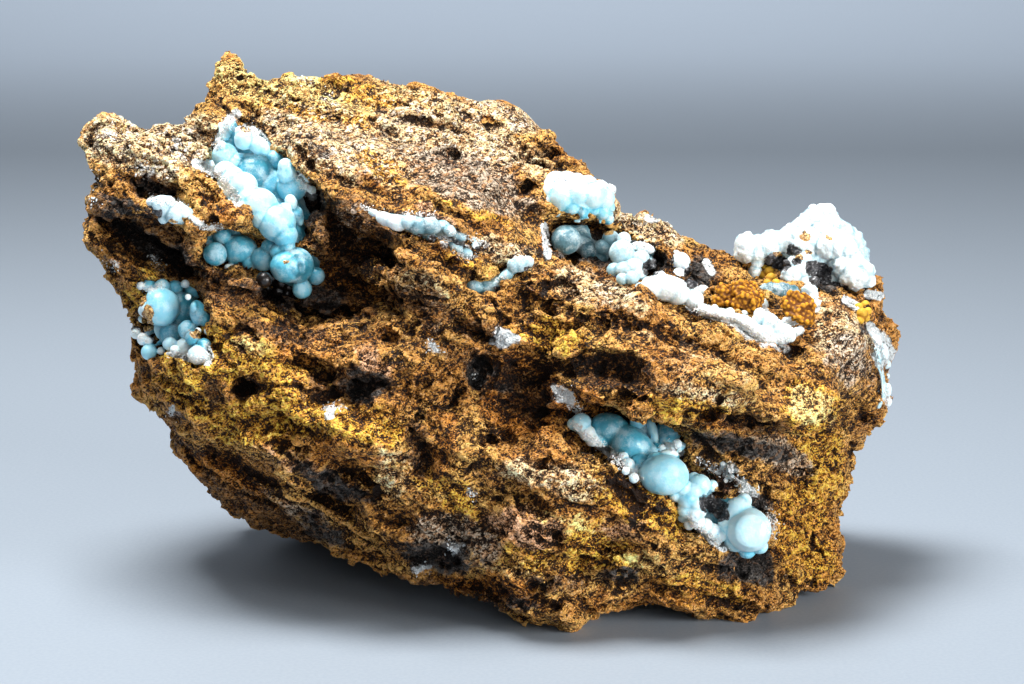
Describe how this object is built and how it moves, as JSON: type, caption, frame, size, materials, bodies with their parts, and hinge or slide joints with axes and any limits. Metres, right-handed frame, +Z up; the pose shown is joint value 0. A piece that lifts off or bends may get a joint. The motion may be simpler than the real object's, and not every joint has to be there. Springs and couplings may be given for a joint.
{
  "type": "hemimorphite mineral specimen",
  "caption": "Rough block of iron-stained gossan with pale blue botryoidal hemimorphite in its hollows and a white cluster on its crest.",
  "frame": {"origin": "middle of the bounding box in X and Y, on the level that the feet stand on", "axes": "+X to the right along the long side as the show face is seen, +Y away from the show face, +Z up"},
  "size_m": [0.102, 0.0678, 0.0654],
  "materials": {
    "gossan": "rough, crumbling, iron-stained",
    "blue_crust": "smooth, waxy, translucent",
    "pale_crust": "smooth to frosted, translucent",
    "white_crust": "frosted, finely granular",
    "limonite": "granular, slightly waxy"
  },
  "bodies": {
    "root": {"matrix": "gossan", "crust_upper_pocket": "blue_crust", "crust_left_nook": "pale_crust", "crust_lower_left_pocket": "blue_crust", "crust_seam": "pale_crust", "crust_lower_seam": "pale_crust", "crust_saddle_cap": "pale_crust", "crust_saddle_cave": "pale_crust", "crust_basin_rim": "pale_crust", "crust_crest": "white_crust", "crust_front_pocket": "blue_crust", "crust_right_edge": "white_crust", "limonite_cluster_left": "limonite", "limonite_cluster_right": "limonite"}
  },
  "joints": []
}
